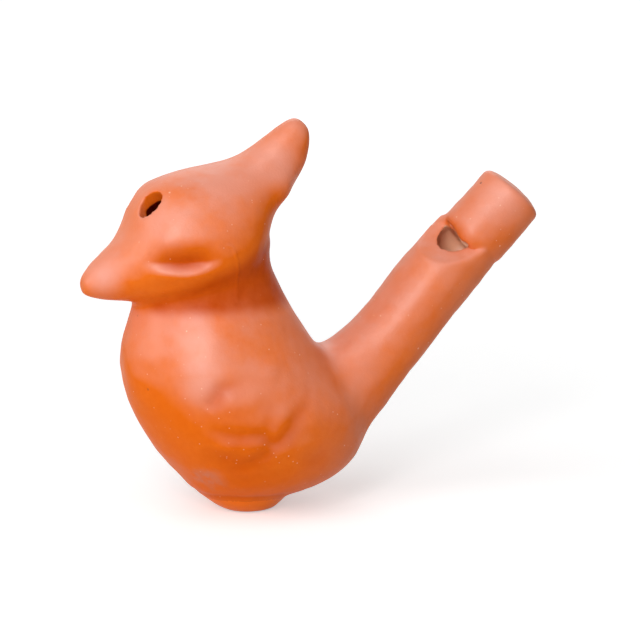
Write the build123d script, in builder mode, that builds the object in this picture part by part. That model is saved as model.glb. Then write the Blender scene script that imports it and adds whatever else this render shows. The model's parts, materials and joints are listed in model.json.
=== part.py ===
from build123d import *
import math
import os

# Terracotta water-bird whistle, in millimetres. The beak points to -X, the tail to +X,
# the bird's left side faces -Y, and the foot stands on Z = 0 with the origin at its centre.

# Clay and joints
wall = 3.8
head_wall = 2.6
slip = 0.3
socket_clearance = 0.1

# Foot pad
foot_height = 3.0
foot_top_radius = 7.9
foot_flat_radius = 4.6
foot_shift = 1.0
foot_bulge = 0.64

# Level sections of the body, from the base up: height, reach to the front, reach to the back, half width
body_levels = [
    (foot_height + slip, 8.6, 11.4, 8.0),
    (6.2, 11.3, 17.2, 12.0),
    (10.5, 14.9, 21.2, 15.2),
    (15.0, 17.9, 22.4, 16.5),
    (20.0, 20.3, 21.0, 16.8),
    (25.0, 21.6, 16.8, 16.2),
    (30.0, 21.6, 12.6, 14.9),
    (35.0, 20.2, 9.2, 12.7),
    (38.5, 19.3, 7.3, 10.7),
    (42.0, 19.3, 5.6, 10.0),
    (46.0, 18.0, 4.4, 10.8),
    (50.0, 11.5, 3.0, 7.4),
]
floor_lift = 4.0

# Lobes of the moulded wing on each side of the body: distance behind the foot, height, radius, how proud
wing_lobes = [
    (0.4, 27.6, 6.6, 0.3),
    (-6.3, 22.4, 5.6, 0.35),
    (-3.0, 23.3, 5.6, 0.35),
    (1.9, 20.4, 5.4, 0.35),
    (8.2, 18.6, 7.2, 0.35),
    (-6.9, 15.0, 5.0, 0.35),
    (-3.2, 15.2, 5.0, 0.35),
    (3.1, 13.2, 6.0, 0.3),
]
slope_step = 0.5

# Head sections from the tip of the beak to the tip of the crest: top point, bottom point, half width
beak_sections = [
    ((-29.0, 42.6), (-28.9, 40.3), 1.7),
    ((-27.2, 45.2), (-27.0, 39.4), 3.3),
    ((-23.8, 48.2), (-23.4, 38.9), 5.4),
    ((-21.0, 51.8), (-19.2, 38.4), 8.6),
]
skull_sections = [
    ((-18.4, 57.2), (-14.0, 37.2), 11.4),
    ((-13.2, 60.2), (-7.2, 37.0), 12.8),
    ((-6.8, 61.4), (0.4, 40.4), 12.0),
    ((-1.4, 62.6), (4.0, 48.8), 8.6),
]
crest_sections = [
    ((2.6, 64.8), (7.1, 55.6), 5.6),
    ((6.7, 67.9), (10.9, 60.1), 3.9),
    ((8.8, 69.0), (12.2, 64.7), 2.7),
    ((10.0, 69.5), (12.3, 66.9), 1.7),
]
beak_tip_round = 1.0
crest_tip_round = 1.2

# Eye holes, which vent the chamber and let water in
eye_diameter = 5.2
eye_x = -17.7
eye_side = 4.9
eye_z = 56.1
eye_turn = 20.0
eye_pitch = 42.0
eye_drill_reach = 6.4

# Tail tube, from its root inside the body to its rim
tail_pitch = 49.3
tail_root_x = 14.61
tail_root_z = 14.46
tail_diameter = 13.7
tail_rim_diameter = 13.6
tail_bore = 8.4
tail_length = 42.0
rim_tilt = 8.5
tail_flare = 1.6
flare_setback = 8.0
flare_length = 11.0
flare_curve = 1.5
flare_lean = 0.9
spigot_diameter = 11.0
spigot_setback = 3.0
bore_runout = 3.0

# Voicing window, scooped from the end of the tail by a round cutter
window_turn = 34.0
scoop_radius = 22.0
scoop_reach = 8.1
scoop_overrun = 6.5

# Mouthpiece plug
mouth_length = 11.2
mouth_root_diameter = 12.7
mouth_end_diameter = 12.2
mouth_sink = 0.8
root_dome = 0.3
end_dome = 1.4
root_round = 2.0
end_round = 1.0
mouth_bend = 4.0
bend_depth = 11.5
windway_width = 6.4
windway_height = 1.0
windway_lift = 1.2
windway_overrun = 2.0

# Bead of slip at the tail's root
bead = 0.35

os.makedirs("parts", exist_ok=True)


def level_section(height, front, back, half_width):
    with BuildSketch(Plane.XY.offset(height)) as section:
        with Locations(((back - front) / 2, 0)):
            Ellipse((back + front) / 2, half_width)
    return section.sketch


def head_section(top, bottom, half_width, inset=0.0):
    high = Vector(top[0], 0, top[1])
    low = Vector(bottom[0], 0, bottom[1])
    rise = high - low
    cut = Plane(origin=(high + low) * 0.5, x_dir=(0, 1, 0), z_dir=rise.cross(Vector(0, 1, 0)))
    with BuildSketch(cut) as section:
        Ellipse(half_width - inset, rise.length / 2 - inset)
    return section.sketch


# Outer form of the body, head, beak and crest
with BuildPart() as body_form:
    loft([level_section(*level) for level in body_levels])
with BuildPart() as head_form:
    loft([head_section(*section) for section in beak_sections + skull_sections + crest_sections])
    beak_tip = head_form.faces().filter_by(GeomType.PLANE).sort_by(Axis.X)[0]
    fillet(beak_tip.edges(), beak_tip_round)
    crest_tip = head_form.faces().filter_by(GeomType.PLANE).sort_by(Axis.X)[-1]
    fillet(crest_tip.edges(), crest_tip_round)

# Hollow for the water, a wall's thickness inside the form
base_height = body_levels[0][0]
widest_height = max(body_levels, key=lambda level: level[3])[0]


def hollow_section(height, front, back, half_width):
    lift = floor_lift * max(0.0, (widest_height - height) / (widest_height - base_height))
    return level_section(height + lift, front - wall, back - wall, half_width - wall)


with BuildPart() as hollow:
    loft([hollow_section(*level) for level in body_levels[1:]])
    loft([head_section(*section, inset=head_wall) for section in skull_sections])


# Where a lobe of the wing sits: under the body's side, along the line that stands square to it
def side_at(x, height):
    high = next(level for level in body_levels if level[0] > height)
    low = body_levels[body_levels.index(high) - 1]
    share = (height - low[0]) / (high[0] - low[0])
    front, back, half_width = [a + share * (b - a) for a, b in zip(low[1:], high[1:])]
    offset = (x - (back - front) / 2) / ((back + front) / 2)
    return half_width * math.sqrt(1 - offset**2)


def lobe_centre(x, height, radius, proud):
    rise_x = side_at(x + slope_step, height) - side_at(x - slope_step, height)
    rise_z = side_at(x, height + slope_step) - side_at(x, height - slope_step)
    outward = Vector(-rise_x, 2 * slope_step, -rise_z).normalized()
    return Vector(x, side_at(x, height), height) - outward * (radius - proud)


# Tail frame: its Z runs up the tail, its Y points to the tail's top, and the rim lies at Z = 0
def run_at(pitch):
    return Vector(math.cos(math.radians(pitch)), 0, math.sin(math.radians(pitch)))


right = Vector(0, 1, 0)
tail_run = run_at(tail_pitch)
tail_top = tail_run.cross(right)
tail_rim = Vector(tail_root_x, 0, tail_root_z) + tail_run * tail_length
flare_end = tail_length - flare_setback
flare_start = flare_end - flare_length
spigot_depth = tail_length - spigot_setback
tail_plane = Plane(origin=tail_rim, x_dir=right, z_dir=tail_run)
rim_plane = Plane(origin=tail_rim, x_dir=right, z_dir=run_at(tail_pitch - rim_tilt))
rim_rise = tail_diameter / 2 * math.tan(math.radians(rim_tilt))
turn = math.radians(window_turn)
across_window = right * math.cos(turn) + tail_top * math.sin(turn)
window_plane = Plane(origin=tail_rim, x_dir=across_window, z_dir=tail_run)
mouth_run = run_at(tail_pitch - mouth_bend)
mouth_root = tail_rim + (mouth_run - tail_run) * bend_depth


def tail_section(depth, grow):
    radius = (tail_diameter if depth > 0 else tail_rim_diameter) / 2
    along = min(max(depth - flare_start, 0.0), flare_length)
    flare = tail_flare * (along / flare_length) ** flare_curve
    with BuildSketch(tail_plane.offset(-depth)) as section:
        with Locations((0, flare * flare_lean)):
            Circle(radius + flare + grow)
    return section.sketch


def tail_sections(grow=0.0):
    depths = (-rim_rise, flare_start / 2, flare_start, (flare_start + flare_end) / 2, flare_end, tail_length)
    return [tail_section(depth, grow) for depth in depths]


# Mouthpiece plug as a turned form with domed ends, and the same form grown by the layer of slip
def plug_profile(grow=0.0):
    root_radius = mouth_root_diameter / 2 + grow
    end_radius = mouth_end_diameter / 2 + grow
    root_level = -mouth_sink - grow
    with BuildSketch(Plane(origin=mouth_root, x_dir=right, z_dir=right.cross(mouth_run))) as profile:
        with BuildLine():
            root_tip = (0, root_level - root_dome)
            root_edge = (root_radius, root_level)
            end_edge = (end_radius, mouth_length)
            end_tip = (0, mouth_length + end_dome)
            Line(end_tip, root_tip)
            ThreePointArc(root_tip, dome_point(root_radius, root_dome, root_level, -1), root_edge)
            Line(root_edge, end_edge)
            ThreePointArc(end_edge, dome_point(end_radius, end_dome, mouth_length, 1), end_tip)
        make_face()
        fillet(profile.vertices().sort_by(Axis.Y)[2], end_round + grow)
        fillet(profile.vertices().sort_by(Axis.Y)[1], root_round + grow)
    return profile.sketch


def dome_point(radius, rise, level, side):
    ball = (radius**2 + rise**2) / (2 * rise)
    half = radius / 2
    return (half, level + side * (rise - ball + math.sqrt(ball**2 - half**2)))


with BuildPart() as plug_form:
    add(plug_profile())
    revolve(axis=Axis(mouth_root, mouth_run))
with BuildPart() as slip_form:
    add(plug_profile(slip))
    revolve(axis=Axis(mouth_root, mouth_run))

# Cutters shared by the pieces they pass through
scoop_rise = scoop_radius - math.sqrt(scoop_radius**2 - (scoop_reach + scoop_overrun) ** 2)
scoop_centre = tail_diameter / 2 - scoop_rise + scoop_radius
with BuildPart() as scoop:
    scoop_side = Plane(origin=tail_rim, x_dir=window_plane.y_dir, z_dir=window_plane.x_dir)
    with BuildSketch(scoop_side):
        with Locations((scoop_centre, scoop_overrun)):
            Circle(scoop_radius)
    extrude(amount=tail_diameter, both=True)
with BuildPart() as bore:
    with BuildSketch(tail_plane.offset(bore_runout)):
        Circle(tail_bore / 2)
    extrude(amount=-spigot_depth - 2 * bore_runout)
with BuildPart() as socket:
    with BuildSketch(tail_plane.offset(-spigot_depth)):
        Circle(spigot_diameter / 2 + socket_clearance)
    extrude(amount=spigot_depth)

with BuildPart() as eye_drills:
    for side in (-1, 1):
        level = math.cos(math.radians(eye_pitch))
        eye_axis = Vector(
            -level * math.cos(math.radians(eye_turn)),
            side * level * math.sin(math.radians(eye_turn)),
            math.sin(math.radians(eye_pitch)),
        )
        eye_plane = Plane(origin=(eye_x, side * eye_side, eye_z), z_dir=eye_axis)
        with BuildSketch(eye_plane.offset(-eye_drill_reach)):
            Circle(eye_diameter / 2)
    extrude(amount=2 * eye_drill_reach)

# Shell of the whole bird before it is parted
with BuildPart() as shell:
    add(body_form.part)
    add(head_form.part)
    for lobe in wing_lobes:
        seat = lobe_centre(*lobe)
        with Locations(seat, (seat.X, -seat.Y, seat.Z)):
            Sphere(lobe[2])
    add(hollow.part, mode=Mode.SUBTRACT)
    add(socket.part, mode=Mode.SUBTRACT)
    add(bore.part, mode=Mode.SUBTRACT)
    add(eye_drills.part, mode=Mode.SUBTRACT)

# The two press-moulded halves and the layer of slip between them
with BuildPart() as left_half:
    add(shell.part)
    split(bisect_by=Plane.XZ.offset(slip / 2), keep=Keep.TOP)
with BuildPart() as right_half:
    add(shell.part)
    split(bisect_by=Plane.XZ.offset(-slip / 2), keep=Keep.BOTTOM)
with BuildPart() as seam_slip:
    add(shell.part)
    split(bisect_by=Plane.XZ.offset(slip / 2), keep=Keep.BOTTOM)
    split(bisect_by=Plane.XZ.offset(-slip / 2), keep=Keep.TOP)

# Foot pad, rounded from its flat to the crease under the body, and the slip that holds it there
with BuildPart() as foot_pad:
    with BuildSketch(Plane.XY):
        with Locations((foot_shift, 0)):
            Circle(foot_flat_radius)
    with BuildSketch(Plane.XY.offset(foot_height / 2)):
        with Locations((foot_shift / 2, 0)):
            Circle(foot_flat_radius + foot_bulge * (foot_top_radius - foot_flat_radius))
    with BuildSketch(Plane.XY.offset(foot_height)):
        Circle(foot_top_radius)
    loft()
with BuildPart() as foot_slip:
    with BuildSketch(Plane.XY.offset(foot_height)):
        Circle(foot_top_radius)
    extrude(amount=slip)

# Tail tube, cut to sit on the body like a saddle, with a spigot through the wall
with BuildPart() as tail_form:
    loft(tail_sections())
    split(bisect_by=rim_plane, keep=Keep.BOTTOM)
with BuildPart() as tail_tube:
    add(tail_form.part)
    add(body_form.part, mode=Mode.SUBTRACT)
    with BuildSketch(tail_plane.offset(-spigot_depth)):
        Circle(spigot_diameter / 2)
    extrude(amount=spigot_depth / 2)
    add(bore.part, mode=Mode.SUBTRACT)
    add(scoop.part, mode=Mode.SUBTRACT)
    add(slip_form.part, mode=Mode.SUBTRACT)

# Mouthpiece with its windway, which runs from the mouth straight at the sharp edge of the window
edge_depth = math.sqrt(scoop_radius**2 - (scoop_centre - tail_bore / 2) ** 2) - scoop_overrun
window_edge = tail_rim + window_plane.y_dir * (tail_bore / 2) - tail_run * edge_depth
windway_inlet = mouth_root + mouth_run * (mouth_length + end_dome) + window_plane.y_dir * windway_lift
windway_run = windway_inlet - window_edge
with BuildPart() as mouthpiece:
    add(plug_form.part)
    with BuildSketch(Plane(origin=window_edge, x_dir=across_window, z_dir=windway_run)):
        Rectangle(windway_width, windway_height)
    extrude(amount=windway_run.length + windway_overrun, mode=Mode.SUBTRACT)
with BuildPart() as mouthpiece_slip:
    add(tail_form.part)
    add(slip_form.part, mode=Mode.INTERSECT)
    add(plug_form.part, mode=Mode.SUBTRACT)
    add(bore.part, mode=Mode.SUBTRACT)
    add(scoop.part, mode=Mode.SUBTRACT)

# Bead of slip squeezed out along the tail's root
with BuildPart() as grown_body:
    loft([level_section(h, f + bead, b + bead, w + bead) for h, f, b, w in body_levels])
with BuildPart() as tail_slip:
    loft(tail_sections(bead))
    add(grown_body.part, mode=Mode.INTERSECT)
    add(body_form.part, mode=Mode.SUBTRACT)
    add(tail_tube.part, mode=Mode.SUBTRACT)
    add(bore.part, mode=Mode.SUBTRACT)

pieces = {
    "left_half": left_half,
    "right_half": right_half,
    "seam_slip": seam_slip,
    "foot_pad": foot_pad,
    "foot_slip": foot_slip,
    "tail_tube": tail_tube,
    "tail_slip": tail_slip,
    "mouthpiece": mouthpiece,
    "mouthpiece_slip": mouthpiece_slip,
}
for name, piece in pieces.items():
    piece.part.label = name
    export_step(piece.part, f"parts/{name}.step")
    box = piece.part.bounding_box()
    print(name, round(piece.part.volume, 1), len(piece.part.solids()), piece.part.is_valid, box.min, box.max)
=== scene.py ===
import json
import math

import bmesh
import bpy
import numpy as np
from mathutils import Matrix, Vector
from mathutils.bvhtree import BVHTree


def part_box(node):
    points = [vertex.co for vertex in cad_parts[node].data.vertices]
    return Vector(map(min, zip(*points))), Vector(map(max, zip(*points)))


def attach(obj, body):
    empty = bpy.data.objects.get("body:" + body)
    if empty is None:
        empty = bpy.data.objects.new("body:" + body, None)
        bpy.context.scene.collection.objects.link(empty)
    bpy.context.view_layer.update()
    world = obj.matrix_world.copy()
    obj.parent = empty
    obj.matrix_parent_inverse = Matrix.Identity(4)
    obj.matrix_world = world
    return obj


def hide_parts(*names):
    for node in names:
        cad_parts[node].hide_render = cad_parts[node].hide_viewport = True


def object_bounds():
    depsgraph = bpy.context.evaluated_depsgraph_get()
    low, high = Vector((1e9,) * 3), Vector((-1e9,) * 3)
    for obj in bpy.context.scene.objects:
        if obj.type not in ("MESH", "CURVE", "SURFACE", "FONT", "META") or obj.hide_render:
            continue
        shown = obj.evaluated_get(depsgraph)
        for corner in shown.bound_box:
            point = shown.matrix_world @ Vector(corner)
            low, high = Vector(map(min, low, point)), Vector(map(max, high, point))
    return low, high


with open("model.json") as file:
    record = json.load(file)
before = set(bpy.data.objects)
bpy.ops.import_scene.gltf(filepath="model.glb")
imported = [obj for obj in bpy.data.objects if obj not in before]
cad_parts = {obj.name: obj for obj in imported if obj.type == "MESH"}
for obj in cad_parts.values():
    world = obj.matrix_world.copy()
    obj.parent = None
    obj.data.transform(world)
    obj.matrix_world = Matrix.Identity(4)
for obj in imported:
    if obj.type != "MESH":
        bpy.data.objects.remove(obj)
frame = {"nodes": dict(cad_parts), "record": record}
cadLow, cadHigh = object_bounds()
nodes = frame["nodes"]
mounts = {mount["name"]: mount for mount in frame["record"]["mounts"]}
print("frame loaded:", len(nodes), "clay pieces")

mm = 0.001


# Sculpting helpers, all on plain arrays of points in metres
def meshPoints(mesh):
    points = np.empty(len(mesh.vertices) * 3)
    mesh.vertices.foreach_get("co", points)
    return points.reshape(-1, 3)


def meshNormals(mesh):
    normals = np.empty(len(mesh.vertices) * 3)
    mesh.vertex_normals.foreach_get("vector", normals)
    return normals.reshape(-1, 3)


def meshEdges(mesh):
    edges = np.empty(len(mesh.edges) * 2, np.int32)
    mesh.edges.foreach_get("vertices", edges)
    return edges.reshape(-1, 2)


def setPoints(mesh, points):
    mesh.vertices.foreach_set("co", points.astype(np.float32).ravel())
    mesh.update()


def kneadNodes(name, nodeNames, grain):
    lump = bmesh.new()
    for nodeName in nodeNames:
        lump.from_mesh(nodes[nodeName].data)
    bmesh.ops.remove_doubles(lump, verts=lump.verts, dist=1e-7)
    mesh = bpy.data.meshes.new(name)
    lump.to_mesh(mesh)
    lump.free()
    piece = bpy.data.objects.new(name, mesh)
    bpy.context.collection.objects.link(piece)
    remesh = piece.modifiers.new("knead", "REMESH")
    remesh.mode = "VOXEL"
    remesh.voxel_size = grain
    depsgraph = bpy.context.evaluated_depsgraph_get()
    kneaded = bpy.data.meshes.new_from_object(piece.evaluated_get(depsgraph))
    bpy.data.objects.remove(piece)
    kneaded.name = name
    return kneaded


def rub(points, edges, amount, passes):
    # each pass moves a point towards the middle of its neighbours, by its own amount
    count = len(points)
    edges = edges[(amount[edges] > 0).any(axis=1)]
    ends = np.concatenate((edges[:, 0], edges[:, 1]))
    others = np.concatenate((edges[:, 1], edges[:, 0]))
    degree = np.maximum(np.bincount(ends, minlength=count), 1)
    for turn in range(passes):
        for axis in range(3):
            middle = np.bincount(ends, points[others, axis], count) / degree
            points[:, axis] += amount * (middle - points[:, axis])
    return points


def nearness(points, nodeName, reach):
    # 1 on the node, falling to 0 at the reach
    mesh = nodes[nodeName].data
    tree = BVHTree.FromPolygons([v.co for v in mesh.vertices], [p.vertices for p in mesh.polygons])
    share = np.zeros(len(points))
    low, high = (np.array(corner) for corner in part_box(nodeName))
    close = ((points > low - reach) & (points < high + reach)).all(axis=1)
    for index in np.flatnonzero(close):
        found = tree.find_nearest(Vector(points[index]), reach)
        if found[0] is not None:
            share[index] = 1 - found[3] / reach
    return share


def unevenness(points, wave, seed):
    # a smooth wander of about -1 to 1, of the given wavelength
    rng = np.random.default_rng(seed)
    total = np.zeros(len(points))
    waves = 12
    for turn in range(waves):
        heading = rng.normal(size=3)
        heading *= rng.uniform(0.6, 1.4) * 2 * math.pi / wave / np.linalg.norm(heading)
        total += np.sin(points @ heading + rng.uniform(0, 2 * math.pi))
    return total / math.sqrt(waves)


def plateau(share, gain):
    # full in the middle and falling to 0 at the edge, where the share is 0
    return np.clip(gain * share, 0, 1)


def smoothLine(corners, steps=14):
    # a curve through the corners, each (x, z, weight)
    corners = np.array(corners, float)
    padded = np.concatenate((corners[:1] * 2 - corners[1:2], corners, corners[-1:] * 2 - corners[-2:-1]))
    line = []
    for before, start, end, after in zip(padded, padded[1:], padded[2:], padded[3:]):
        for t in np.arange(steps) / steps:
            line.append(
                0.5 * (2 * start + (end - before) * t + (2 * before - 5 * start + 4 * end - after) * t**2
                       + (3 * start - before - 3 * end + after) * t**3)
            )
    line.append(corners[-1])
    return np.array(line)


def besideLine(side, line):
    # for points of the side view: signed distance from the line, and the line's weight there
    best = np.full(len(side), 1e9)
    sign = np.ones(len(side))
    weight = np.zeros(len(side))
    for start, end in zip(line, line[1:]):
        run = end[:2] - start[:2]
        along = np.clip(((side - start[:2]) @ run) / (run @ run), 0, 1)
        off = side - start[:2] - along[:, None] * run
        away = np.hypot(off[:, 0], off[:, 1])
        nearer = away < best
        best[nearer] = away[nearer]
        sign[nearer] = np.sign(run[0] * off[nearer, 1] - run[1] * off[nearer, 0])
        weight[nearer] = (start[2] + along * (end[2] - start[2]))[nearer]
    return best * sign, weight


def bump(distance, width):
    return np.exp(-((distance / width) ** 2))


def rise(value, low, high):
    # 0 at low, 1 at high, with soft ends
    t = np.clip((value - low) / (high - low), 0, 1)
    return t * t * (3 - 2 * t)


# The bird's clay: all its pieces and their slip, kneaded into one skin and dealt out again below
clayPieces = {
    "left_half": ("leftHalf", "terracotta"),
    "right_half": ("rightHalf", "terracotta"),
    "seam_slip": ("seamSlip", "slip"),
    "foot_pad": ("footPad", "terracotta"),
    "foot_slip": ("footSlip", "slip"),
    "tail_tube": ("tailTube", "terracotta"),
    "tail_slip": ("tailSlip", "slip"),
    "mouthpiece": ("mouthpiecePlug", "terracotta"),
    "mouthpiece_slip": ("mouthpieceSlip", "slip"),
}
clay = {
    "grain": 0.282 * mm,
    "rubbing": 0.6,  # share of the way to the neighbours at each pass
    "rubs": 32,
    "handWave": 9 * mm,
    "handDepth": 0.08 * mm,
    "wipeWave": 3.2 * mm,
    "wipeDepth": 0.022 * mm,
}
joints = {  # joints that a thumb has smoothed: reach around the slip, passes
    "tail_slip": (4.5 * mm, 126),
    "foot_slip": (3.2 * mm, 71),
    "mouthpiece_slip": (0.7 * mm, 4),
}
jointPlateau = 2
throat = {"low": (-19.5, -15, 36.5), "high": (5, 15, 47.5), "blend": 3.0, "rubs": 47}  # mm
eye = {  # the drilled edge stays this far from any rubbing, and is squeezed a little from the side
    "keep": 1.5 * mm,
    "depth": 4,  # in radii of the hole
    "rubbing": 0.04,
    "squeeze": 0.18,
    "squeezeSide": (0.106, 0.961, -0.256),
    "fade": 3.0 * mm,
}
window = {  # where the tail is scooped, middle in mm
    "middle": (40.5, -3.0, 46.5),
    "keep": 9.0 * mm,
    "rubbing": 0.26,
}
plugRubbing = 0.12  # the plug is pressed, not rubbed
smears = (  # where a finger has wiped the tail's rim and the foot, in mm: x, y, z, reach, passes
    (38.6, 3.2, 49.9, 3.0, 47),
    (42.0, -5.8, 45.0, 1.6, 9),
    (7.0, -2.3, 0.8, 3.0, 47),
)
smearPlateau = 1.5
plugLip = {  # mm, pressed over the window
    "middle": (41.0, -4.0, 46.4),
    "reach": 3.6,
    "plateau": 1.6,
    "skin": 0.5,  # how near the plug a point has to be
    "slide": 0.9,
    "along": (-0.652, 0.0, -0.758),
}

birdSkin = kneadNodes("birdSkin", clayPieces, clay["grain"])
skinPoints = meshPoints(birdSkin)
skinEdges = meshEdges(birdSkin)
rubbing = np.full(len(skinPoints), clay["rubbing"])
for eyeName in ("eye_left", "eye_right"):
    hole = mounts[eyeName]
    fromHole = skinPoints - np.array(hole["pos_m"])
    alongHole = fromHole @ np.array(hole["axis"])
    acrossHole = np.linalg.norm(fromHole - alongHole[:, None] * np.array(hole["axis"]), axis=1)
    edge = hole["dims"]["r_mm"] * mm
    inHole = abs(alongHole) < eye["depth"] * edge
    rubbing[(acrossHole < edge + eye["keep"]) & inHole] *= eye["rubbing"]
    squeezeSide = np.array(eye["squeezeSide"]) * (1, np.sign(hole["pos_m"][1]), 1)
    hold = np.clip((edge + eye["fade"] - acrossHole) / eye["fade"], 0, 1) * inHole
    skinPoints -= (eye["squeeze"] * hold * (fromHole @ squeezeSide))[:, None] * squeezeSide
fromWindow = np.linalg.norm(skinPoints - np.array(window["middle"]) * mm, axis=1)
plugLow = np.array(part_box("mouthpiece")[0])
onPlug = (skinPoints[:, 0] > plugLow[0]) & (skinPoints[:, 2] > plugLow[2])
rubbing[onPlug] *= plugRubbing
rubbing[fromWindow < window["keep"]] = clay["rubbing"] * window["rubbing"]
skinPoints = rub(skinPoints, skinEdges, rubbing, clay["rubs"])
for slipName, (reach, rubs) in joints.items():
    share = plateau(nearness(skinPoints, slipName, reach), jointPlateau)
    skinPoints = rub(skinPoints, skinEdges, clay["rubbing"] * share, rubs)
fromLow = (skinPoints / mm - np.array(throat["low"])) / throat["blend"]
fromHigh = (np.array(throat["high"]) - skinPoints / mm) / throat["blend"]
share = np.clip(np.minimum(fromLow, fromHigh).min(axis=1), 0, 1)
skinPoints = rub(skinPoints, skinEdges, clay["rubbing"] * share, throat["rubs"])
fromLip = np.linalg.norm(skinPoints / mm - np.array(plugLip["middle"]), axis=1) / plugLip["reach"]
lipShare = plateau(nearness(skinPoints, "mouthpiece", plugLip["skin"] * mm), jointPlateau)
lipShare *= plateau(1 - fromLip, plugLip["plateau"])
skinPoints += (lipShare * plugLip["slide"] * mm)[:, None] * np.array(plugLip["along"])
for x, y, z, reach, rubs in smears:
    away = np.linalg.norm(skinPoints / mm - (x, y, z), axis=1)
    skinPoints = rub(skinPoints, skinEdges, clay["rubbing"] * plateau(1 - away / reach, smearPlateau), rubs)
setPoints(birdSkin, skinPoints)
skinNormals = meshNormals(birdSkin)
print("bird skin kneaded:", len(skinPoints), "points")

# Moulded relief of each side, in mm of the side view: x towards the tail, z up
wing = {
    "creases": (  # x, z, depth
        ((-10.8, 21.7, 0.05), (-9.7, 23.1, 0.28), (-8.4, 25.2, 0.30), (-6.4, 25.8, 0.18), (-3.8, 26.7, 0.04)),
        ((-11.0, 17.5, 0.04), (-8.4, 17.8, 0.18), (-5.5, 17.0, 0.26), (-1.7, 16.9, 0.24), (1.0, 15.6, 0.28),
         (3.2, 17.2, 0.26), (5.0, 19.9, 0.22), (6.8, 21.6, 0.14), (8.4, 23.0, 0.04)),
        ((0.6, 23.6, 0.02), (0.4, 20.6, 0.09), (-0.4, 17.4, 0.08)),
        ((-10.9, 15.1, 0.02), (-8.7, 13.2, 0.16), (-5.5, 11.7, 0.28), (-2.8, 12.0, 0.32), (-0.7, 13.3, 0.28),
         (0.3, 15.0, 0.18)),
        ((-7.0, 9.2, 0.02), (-4.5, 8.7, 0.14), (-1.0, 9.2, 0.10), (3.0, 10.5, 0.02)),
        ((5.6, 12.2, 0.02), (8.6, 11.9, 0.14), (11.4, 13.2, 0.02)),
    ),
    "creaseWidth": 1.35,
    "tone": 1.7,  # painted shade along the creases: how dark, and where
    "toneAbove": -0.3,
    "toneWidth": 1.7,
}
cheek = {  # a fold that deepens slowly from above and ends at a lip: x, z, depth
    "fold": ((-20.0, 47.3, 0.0), (-18.2, 46.9, 0.5), (-16.2, 46.5, 1.1), (-13.4, 46.3, 1.5), (-11.0, 46.6, 1.2),
             (-9.2, 47.1, 0.6), (-7.2, 47.9, 0.0)),
    "widthAbove": 2.5,
    "widthBelow": 0.95,
    "lip": 0.22,
    "lipBelow": 1.8,
    "lipWidth": 1.2,
    # painted shade in the fold
    "tone": 0.62,
}
crest = {  # mm, on both sides of its rear edge, where it faces the tail
    "middle": (6.0, 4.4, 57.3),
    "reach": 3.2,
    "fuller": 1.2,
    "facing": (0.0, 0.5),
}
footCrease = {"height": 4.0, "depth": 0.12, "width": 0.5, "reach": 6.0, "tone": 0.3, "toneWidth": 0.5}  # mm; the tone is painted shade along the crease
paintedChinShade = {  # painted shade under the chin, in mm: between two heights, the upper one rising to the back
    "from": (36.0, 39.0),
    "to": (49.5, 46.0),
    "slope": 0.45,
    "front": (-20.0, -17.0),
    "back": (10.0, 6.0),
    "tone": 0.95,
}
paintedHighlights = (  # painted highlights, as paler clay on both sides, in mm: x, y, z, reach, how much
    (-11.8, 13.5, 33.0, 6.2, 0.7),
    (-11.7, 13.9, 29.6, 6.2, 0.8),
    (-11.6, 14.2, 26.2, 6.2, 0.7),
    (-16.4, 10.0, 53.5, 6.5, 0.6),
    (-26.0, 3.8, 44.2, 5.5, 0.95),
    (4.6, 4.0, 62.3, 6.5, 1.0),
    (45.8, 4.5, 53.2, 7.0, 0.85),
)
collarSeam = {  # x, z, height
    "line": ((-6.4, 49.7, 0.05), (-5.2, 49.0, 0.12), (-4.0, 45.0, 0.12), (-3.8, 39.5, 0.05)),
    "width": 0.22,
}
sideways = {"offMiddle": 0.5 * mm, "facing": 0.15, "tailFrom": 16 * mm}  # what counts as the bird's side

lift = np.zeros(len(skinPoints))
# painted shade in the creases, the cheek fold, the foot crease and under the chin
paintedShade = np.zeros(len(skinPoints))
# painted highlights on the chest, head, beak, crest and mouthpiece
paintedHighlightTone = np.zeros(len(skinPoints))
for side in (-1, 1):
    facing = (skinPoints[:, 1] * side > sideways["offMiddle"]) & (skinNormals[:, 1] * side > sideways["facing"])
    picked = np.flatnonzero(facing & (skinPoints[:, 0] < sideways["tailFrom"]))
    sideView = skinPoints[picked][:, (0, 2)] / mm
    raised = np.zeros(len(picked))
    # painted shade along the wing creases
    tone = np.zeros(len(picked))
    for crease in wing["creases"]:
        away, depth = besideLine(sideView, smoothLine(crease))
        raised -= depth * bump(away, wing["creaseWidth"])
        tone = np.maximum(tone, wing["tone"] * depth * bump(away - wing["toneAbove"], wing["toneWidth"]))
    away, depth = besideLine(sideView, smoothLine(cheek["fold"]))
    sunk = depth * np.where(away > 0, bump(away, cheek["widthAbove"]), bump(away, cheek["widthBelow"]))
    raised += cheek["lip"] * depth * bump(away + cheek["lipBelow"], cheek["lipWidth"]) - sunk
    # painted shade in the cheek fold, kept with the creases' painted shade
    paintedShade[picked] = np.maximum(tone, cheek["tone"] * sunk)
    away, height = besideLine(sideView, smoothLine(collarSeam["line"]))
    raised += height * bump(away, collarSeam["width"])
    lift[picked] += raised * mm
    fromCrest = np.linalg.norm(skinPoints / mm - np.array(crest["middle"]) * (1, side, 1), axis=1)
    lift += crest["fuller"] * mm * bump(fromCrest, crest["reach"]) * rise(skinNormals[:, 0], *crest["facing"])
skinX, skinY, skinZ = skinPoints.T / mm
lowDown = skinZ < footCrease["reach"]
fromCrease = skinZ - footCrease["height"]
lift -= footCrease["depth"] * mm * lowDown * bump(fromCrease, footCrease["width"])
# painted shade along the foot crease
footCreaseShade = footCrease["tone"] * lowDown * bump(fromCrease, footCrease["toneWidth"])
paintedShade = np.maximum(paintedShade, footCreaseShade)
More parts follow.
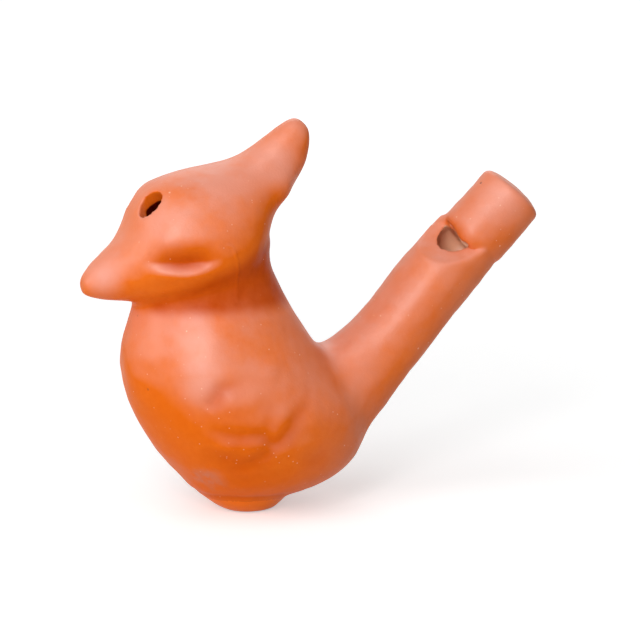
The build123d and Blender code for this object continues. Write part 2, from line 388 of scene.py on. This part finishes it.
# painted shadow under the chin
chinShadow = rise(skinZ, *paintedChinShade["from"]) * rise(skinX, *paintedChinShade["front"])
chinShadow *= 1 - rise(skinZ - paintedChinShade["slope"] * skinX, *paintedChinShade["to"][::-1])
chinShadow *= rise(-skinX, *(-limit for limit in paintedChinShade["back"]))
paintedShade = np.clip(np.maximum(paintedShade, paintedChinShade["tone"] * chinShadow), 0, 1)
# painted highlights, mirrored to both sides
for x, y, z, reach, amount in paintedHighlights:
    away = np.sqrt((skinX - x) ** 2 + (abs(skinY) - y) ** 2 + (skinZ - z) ** 2)
    paintedHighlightTone = np.maximum(paintedHighlightTone, amount * (1 - rise(away, 0, reach)))
lift += clay["handDepth"] * unevenness(skinPoints, clay["handWave"], seed=3)
lift += clay["wipeDepth"] * unevenness(skinPoints, clay["wipeWave"], seed=8)
skinPoints = np.clip(skinPoints + skinNormals * lift[:, None], cadLow, cadHigh)
setPoints(birdSkin, skinPoints)
print("wings, cheeks and hand marks pressed in")


# The skin is dealt out to the solids that it lies on
def nearestNode(centres):
    corners, faces, owners = [], [], []
    for index, nodeName in enumerate(clayPieces):
        mesh = nodes[nodeName].data
        start = len(corners)
        corners.extend(vertex.co for vertex in mesh.vertices)
        for polygon in mesh.polygons:
            faces.append([start + corner for corner in polygon.vertices])
            owners.append(index)
    tree = BVHTree.FromPolygons(corners, faces)
    return np.array([owners[tree.find_nearest(Vector(centre))[2]] for centre in centres])


def cutPiece(name, quads, points, normals, tones):
    used, compact = np.unique(quads, return_inverse=True)
    mesh = bpy.data.meshes.new(name)
    mesh.from_pydata(points[used].tolist(), [], compact.reshape(quads.shape).tolist())
    mesh.shade_smooth()
    mesh.normals_split_custom_set_from_vertices(normals[used].tolist())
    for toneName, values in tones.items():
        attribute = mesh.attributes.new(toneName, "FLOAT", "POINT")
        attribute.data.foreach_set("value", values[used].astype(np.float32))
    piece = bpy.data.objects.new(name, mesh)
    bpy.context.collection.objects.link(piece)
    return piece


skinNormals = meshNormals(birdSkin)
skinQuads = np.empty(len(birdSkin.loops), np.int32)
birdSkin.loops.foreach_get("vertex_index", skinQuads)
skinQuads = skinQuads.reshape(-1, 4)
skinOwners = nearestNode(skinPoints[skinQuads].mean(axis=1))
tones = {"paintedShade": paintedShade, "paintedHighlightTone": paintedHighlightTone}
visual = {}
for index, (nodeName, (pieceName, slotName)) in enumerate(clayPieces.items()):
    piece = cutPiece(pieceName, skinQuads[skinOwners == index], skinPoints, skinNormals, tones)
    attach(piece, "root")
    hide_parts(nodeName)
    visual[pieceName] = piece
    print("piece:", pieceName, len(piece.data.polygons), "faces")

# Finishes
terracottaLook = {
    "warm": (0.80, 0.145, 0.004, 1),
    "pale": (0.82, 0.165, 0.012, 1),
    "deep": (0.74, 0.115, 0.002, 1),
    "paintedSheen": (0.77, 0.262, 0.165, 1),  # painted sheen, paler where the surface faces up and forward
    "paintedSheenSide": (-0.22, -0.52, 0.82),
    "paintedSheenRange": (0.35, 1.0),
    # painted shade colour for the creases, the cheek fold, the foot crease and under the chin
    "hollow": (0.52, 0.060, 0.0003, 1),
    # painted highlight colour
    "paintedHighlights": (0.80, 0.31, 0.22, 1),
    "rearTint": (0.74, 0.215, 0.105, 1),  # duller, pinker towards the back and the tail
    "rearTintFrom": (4.0, 16.0),  # mm
    # painted light on the bore's wall, seen through the window
    "bore": (0.95, 0.50, 0.31, 1),
    "ash": (0.56, 0.25, 0.19, 1),
    "speck": (0.90, 0.52, 0.34, 1),
    "pit": (0.20, 0.045, 0.012, 1),
    "pitShare": 0.02,
    "roughness": (0.33, 0.43),
    "specular": (0.05, 0.50),  # the painted shade stays matt; what faces forward and the painted highlights shine
    "shineRange": (0.0, 0.6),
    "grainBump": (0.4, 0.00010),  # strength, depth
    "pitBump": (0.6, 0.00015),
}
slipLook = dict(terracottaLook, warm=(0.80, 0.150, 0.006, 1), roughness=(0.40, 0.48))
plugLook = dict(terracottaLook, pitShare=0.10)
# the foot pad painted brighter, as painted bounce light from below
footPaintedBounceLook = dict(
    terracottaLook,
    warm=(0.96, 0.205, 0.010, 1),
    pale=(0.96, 0.225, 0.018, 1),
    deep=(0.90, 0.175, 0.005, 1),
)
speckSpots = (  # mm: x, y, z, reach
    (-13.5, -12.0, 50.3, 3.4),
    (-8.8, -12.8, 49.6, 2.0),
    (-9.2, -15.0, 14.0, 1.8),
    (-2.5, -16.2, 13.0, 2.0),
    (1.5, -16.2, 12.4, 1.6),
    (-6.0, -16.2, 20.0, 3.0),
    (46.0, -4.0, 50.0, 7.0),
)
crumbSpots = ((-9.2, -15.0, 14.0, 1.7), (-2.5, -16.2, 13.0, 2.0), (1.5, -16.2, 12.4, 1.5))  # mm, as above
ashSpot = (-9.2, -8.8, 8.0, 4.2)
patches = {  # noise scale, detail and roughness, from what to what it counts, and as how much
    "mottle": (70, 4, 0.6, 0.35, 0.65, 0.0, 1.0),
    "grain": (900, 3, 0.6, 0.3, 0.7, 0.0, 1.0),
    "paintedSheen": (80, 4, 0.6, 0.38, 0.60, 0.2, 1.0),
    "rearTint": (95, 4, 0.6, 0.35, 0.6, 0.3, 1.0),
    "paintedHighlights": (140, 3, 0.6, 0.3, 0.6, 0.6, 1.0),
    "hollow": (220, 3, 0.6, 0.3, 0.7, 0.7, 1.0),
    "ash": (300, 3, 0.6, 0.35, 0.6, 0.0, 1.0),
    "clusters": (110, 2, 0.6, 0.45, 0.62, 0.0, 1.0),
}
glossNoise = (160, 5, 0.6)
reliefNoise = (2200, 4, 0.65)
dotSizes = {  # cells to the metre, radius as a share of a cell
    "specks": (1150, 0.19),
    "crumbs": (620, 0.13),
    "roughCrumbs": (1500, 0.30),
    "pits": (520, 0.17),
}
dotShares = {"specks": 0.16, "crumbs": 0.03, "roughCrumbs": 0.35}  # of the cells; the pits' is in the look
strengths = {"grain": 0.35, "rearTint": 0.6, "ash": 0.5, "specks": 0.8, "crumbs": 0.75, "pits": 0.7}
tailAxis = {  # mm: the bore's wall, which is painted light, its radius, and where it starts and ends along the tail
    "start": (14.61, 0, 14.46),
    "heading": (0.652, 0, 0.758),
    "bore": 4.45,
    "boreEdge": 0.15,
    "boreFrom": (26.0, 30.0),
    "rim": (41.5, 41.0),
}


def clayFinish(name, look):
    material = bpy.data.materials.new(name)
    material.use_nodes = True
    tree = material.node_tree
    make, join = tree.nodes.new, tree.links.new
    shader = tree.nodes["Principled BSDF"]
    coordinates = make("ShaderNodeTexCoord")
    place = coordinates.outputs["Object"]

    def noise(scale, detail, roughness=0.5):
        node = make("ShaderNodeTexNoise")
        node.inputs["Scale"].default_value = scale
        node.inputs["Detail"].default_value = detail
        node.inputs["Roughness"].default_value = roughness
        join(place, node.inputs["Vector"])
        return node.outputs["Fac"]

    def ramp(value, low, high, toLow=0.0, toHigh=1.0):
        node = make("ShaderNodeMapRange")
        for socket, setting in zip(("From Min", "From Max", "To Min", "To Max"), (low, high, toLow, toHigh)):
            node.inputs[socket].default_value = setting
        join(value, node.inputs["Value"])
        return node.outputs["Result"]

    def patch(name):
        scale, detail, roughness, *limits = patches[name]
        return ramp(noise(scale, detail, roughness), *limits)

    def vector(operation, first, second, output="Vector"):
        node = make("ShaderNodeVectorMath")
        node.operation = operation
        join(first, node.inputs[0])
        node.inputs[1].default_value = second
        return node.outputs[output]

    def tone(name):
        node = make("ShaderNodeAttribute")
        node.attribute_name = name
        return node.outputs["Fac"]

    def near(spot):
        x, y, z, reach = (value * mm for value in spot)
        return ramp(vector("DISTANCE", place, (x, y, z), "Value"), reach, reach * 0.3)

    def mix(share, first, second):
        node = make("ShaderNodeMix")
        node.data_type = "RGBA"
        join(share, node.inputs["Factor"])
        for socket, value in (("A", first), ("B", second)):
            target = [s for s in node.inputs if s.name == socket and s.type == "RGBA"][0]
            if isinstance(value, tuple):
                target.default_value = value
            else:
                join(value, target)
        return [s for s in node.outputs if s.type == "RGBA"][0]

    def times(first, second, operation="MULTIPLY"):
        node = make("ShaderNodeMath")
        node.operation = operation
        join(first, node.inputs[0])
        if isinstance(second, float):
            node.inputs[1].default_value = second
        else:
            join(second, node.inputs[1])
        return node.outputs[0]

    def dots(name, chance):
        scale, radius = dotSizes[name]
        cells = make("ShaderNodeTexVoronoi")
        cells.inputs["Scale"].default_value = scale
        join(place, cells.inputs["Vector"])
        channels = make("ShaderNodeSeparateColor")
        join(cells.outputs["Color"], channels.inputs[0])
        chosen = ramp(channels.outputs[0], 1 - chance, 1 - chance + 0.02)
        return times(ramp(cells.outputs["Distance"], radius, radius * 0.5), chosen)

    def relief(height, strength, depth, below=None):
        # with a relief below it the height is sunk, not raised
        node = make("ShaderNodeBump")
        node.inputs["Strength"].default_value = strength
        node.inputs["Distance"].default_value = depth
        join(height, node.inputs["Height"])
        if below:
            node.invert = True
            join(below, node.inputs["Normal"])
        return node.outputs["Normal"]

    colour = mix(patch("mottle"), look["warm"], look["pale"])
    colour = mix(times(patch("grain"), strengths["grain"]), colour, look["deep"])
    # painted sheen: a paler colour on what faces up and forward
    facing = vector("DOT_PRODUCT", coordinates.outputs["Normal"], look["paintedSheenSide"], "Value")
    turned = ramp(facing, *look["paintedSheenRange"])
    exposed = times(turned, ramp(tone("paintedShade"), 0.0, 1.0, 1.0, 0.0))
    shine = times(exposed, tone("paintedHighlightTone"), "MAXIMUM")
    join(ramp(shine, *look["shineRange"], *look["specular"]), shader.inputs["Specular IOR Level"])
    apart = make("ShaderNodeSeparateXYZ")
    join(place, apart.inputs[0])
    rearTintShare = ramp(apart.outputs["X"], *(limit * mm for limit in look["rearTintFrom"]))
    # a duller, pinker tint towards the back and the tail
    colour = mix(times(times(rearTintShare, strengths["rearTint"]), patch("rearTint")), colour, look["rearTint"])
    # painted sheen on what faces up and forward
    colour = mix(times(turned, patch("paintedSheen")), colour, look["paintedSheen"])
    # painted highlights on the chest, head, beak, crest and mouthpiece
    colour = mix(times(tone("paintedHighlightTone"), patch("paintedHighlights")), colour, look["paintedHighlights"])
    # painted shade in the creases, the cheek fold, the foot crease and under the chin
    colour = mix(times(tone("paintedShade"), patch("hollow")), colour, look["hollow"])
    colour = mix(times(times(near(ashSpot), strengths["ash"]), patch("ash")), colour, look["ash"])
    fromStart = vector("SUBTRACT", place, [value * mm for value in tailAxis["start"]])
    along = vector("DOT_PRODUCT", fromStart, tailAxis["heading"], "Value")
    fromAxis = vector("LENGTH", vector("CROSS_PRODUCT", fromStart, tailAxis["heading"]), (0, 0, 0), "Value")
    inBore = ramp(fromAxis, tailAxis["bore"] * mm, (tailAxis["bore"] - tailAxis["boreEdge"]) * mm)
    for limits in ("boreFrom", "rim"):
        inBore = times(inBore, ramp(along, *(limit * mm for limit in tailAxis[limits])))
    # painted light on the bore's wall
    colour = mix(inBore, colour, look["bore"])
    clusters = patch("clusters")
    for spot in speckSpots:
        clusters = times(clusters, near(spot), "MAXIMUM")
    rough = near(crumbSpots[0])
    for spot in crumbSpots[1:]:
        rough = times(rough, near(spot), "MAXIMUM")
    specks = times(dots("specks", dotShares["specks"]), clusters)
    roughCrumbs = times(dots("roughCrumbs", dotShares["roughCrumbs"]), rough)
    crumbs = times(dots("crumbs", dotShares["crumbs"]), roughCrumbs, "MAXIMUM")
    pits = dots("pits", look["pitShare"])
    colour = mix(times(specks, strengths["specks"]), colour, look["speck"])
    colour = mix(times(crumbs, strengths["crumbs"]), colour, look["speck"])
    colour = mix(times(pits, strengths["pits"]), colour, look["pit"])
    join(colour, shader.inputs["Base Color"])
    join(ramp(noise(*glossNoise), 0.0, 1.0, *look["roughness"]), shader.inputs["Roughness"])
    grainRelief = relief(noise(*reliefNoise), *look["grainBump"])
    join(relief(pits, *look["pitBump"], below=grainRelief), shader.inputs["Normal"])
    return material


terracotta = clayFinish("terracotta", terracottaLook)
slipClay = clayFinish("slipClay", slipLook)
special = {"mouthpiecePlug": clayFinish("plugClay", plugLook), "footPad": clayFinish("footClayPaintedBounce", footPaintedBounceLook)}
for name, piece in visual.items():
    piece.data.materials.clear()
    piece.data.materials.append(special.get(name, slipClay if "Slip" in name else terracotta))
print("finishes on")

# Room: pale floor and backdrop, soft lamps, and the photograph's camera
room = {
    "floor": 12.0,
    "floorColour": (0.8, 0.8, 0.8, 1),
    "floorRoughness": 0.9,
    "lifted": (0.45, 0.72),  # how much whiter the floor looks, near the bird and far from it
    "fade": (0.10, 0.55),
    "worldStrength": 0.2,
}


def seenDirect(tree):
    # 1 for what the camera sees, straight, mirrored or through something clear
    paths = tree.nodes.new("ShaderNodeLightPath")
    total = paths.outputs["Is Camera Ray"]
    for ray in ("Is Glossy Ray", "Is Transmission Ray"):
        either = tree.nodes.new("ShaderNodeMath")
        either.operation = "MAXIMUM"
        tree.links.new(total, either.inputs[0])
        tree.links.new(paths.outputs[ray], either.inputs[1])
        total = either.outputs[0]
    return total


floorMesh = bpy.data.meshes.new("floor")
half = room["floor"] / 2
floorMesh.from_pydata([(-half, -half, 0), (half, -half, 0), (half, half, 0), (-half, half, 0)], [], [(0, 1, 2, 3)])
floor = bpy.data.objects.new("floor", floorMesh)
bpy.context.collection.objects.link(floor)
floorFinish = bpy.data.materials.new("paleFloor")
floorFinish.use_nodes = True
floorTree = floorFinish.node_tree
floorShader = floorTree.nodes["Principled BSDF"]
floorShader.inputs["Base Color"].default_value = room["floorColour"]
floorShader.inputs["Roughness"].default_value = room["floorRoughness"]
floorShader.inputs["Emission Color"].default_value = (1, 1, 1, 1)
seenLift = floorTree.nodes.new("ShaderNodeMath")
seenLift.operation = "MULTIPLY"
fade = floorTree.nodes.new("ShaderNodeMapRange")  # the floor turns white away from the bird
for socket, setting in zip(("From Min", "From Max", "To Min", "To Max"), room["fade"] + room["lifted"]):
    fade.inputs[socket].default_value = setting
floorPlace = floorTree.nodes.new("ShaderNodeTexCoord")
fromBird = floorTree.nodes.new("ShaderNodeVectorMath")
fromBird.operation = "LENGTH"
floorTree.links.new(floorPlace.outputs["Object"], fromBird.inputs[0])
floorTree.links.new(fromBird.outputs["Value"], fade.inputs["Value"])
floorTree.links.new(fade.outputs["Result"], seenLift.inputs[1])
floorTree.links.new(seenDirect(floorTree), seenLift.inputs[0])
floorTree.links.new(seenLift.outputs[0], floorShader.inputs["Emission Strength"])
floorMesh.materials.append(floorFinish)

world = bpy.data.worlds.new("studio")
bpy.context.scene.world = world
world.use_nodes = True
worldTree = world.node_tree
background = worldTree.nodes["Background"]
background.inputs["Color"].default_value = (1, 1, 1, 1)
strength = worldTree.nodes.new("ShaderNodeMapRange")
strength.inputs["To Min"].default_value = room["worldStrength"]
strength.inputs["To Max"].default_value = 1.0
worldTree.links.new(seenDirect(worldTree), strength.inputs["Value"])
worldTree.links.new(strength.outputs["Result"], background.inputs["Strength"])

lamps = {  # azimuth, elevation, distance, width, height, power
    "keySoftbox": (-30, 24, 0.60, 0.22, 0.44, 1.85),
    "skySoftbox": (-45, 62, 0.80, 0.70, 0.70, 2.2),
    "sideSoftbox": (-95, 14, 0.80, 0.50, 0.36, 1.05),
    "backSoftbox": (165, 38, 0.90, 0.60, 0.60, 1.0),
}
photoView = {
    "azimuth": -18,
    "elevation": 12,
    "distance": 0.470,
    "lens": 150,
    "sensor": 36,
    "clipStart": 0.01,
    "aim": Vector((0.0137, -0.0018, 0.0333)),
}


def towards(azimuth, elevation):
    a, e = math.radians(azimuth), math.radians(elevation)
    return Vector((math.sin(a) * math.cos(e), -math.cos(a) * math.cos(e), math.sin(e)))


def aimed(name, data, azimuth, elevation, distance, aim):
    thing = bpy.data.objects.new(name, data)
    bpy.context.collection.objects.link(thing)
    back = towards(azimuth, elevation)
    thing.location = aim + back * distance
    thing.rotation_euler = (-back).to_track_quat("-Z", "Y").to_euler()
    return thing


for lampName, (azimuth, elevation, distance, width, height, power) in lamps.items():
    lamp = bpy.data.lights.new(lampName, "AREA")
    lamp.shape = "ELLIPSE"
    lamp.size = width
    lamp.size_y = height
    lamp.energy = power
    aimed(lampName, lamp, azimuth, elevation, distance, photoView["aim"])
camera = bpy.data.cameras.new("photoCamera")
camera.lens = photoView["lens"]
camera.sensor_width = photoView["sensor"]
camera.clip_start = photoView["clipStart"]
viewFrom = (photoView[part] for part in ("azimuth", "elevation", "distance", "aim"))
bpy.context.scene.camera = aimed("photoCamera", camera, *viewFrom)
bpy.context.scene.view_settings.view_transform = "Standard"
print("room, lamps and camera set")
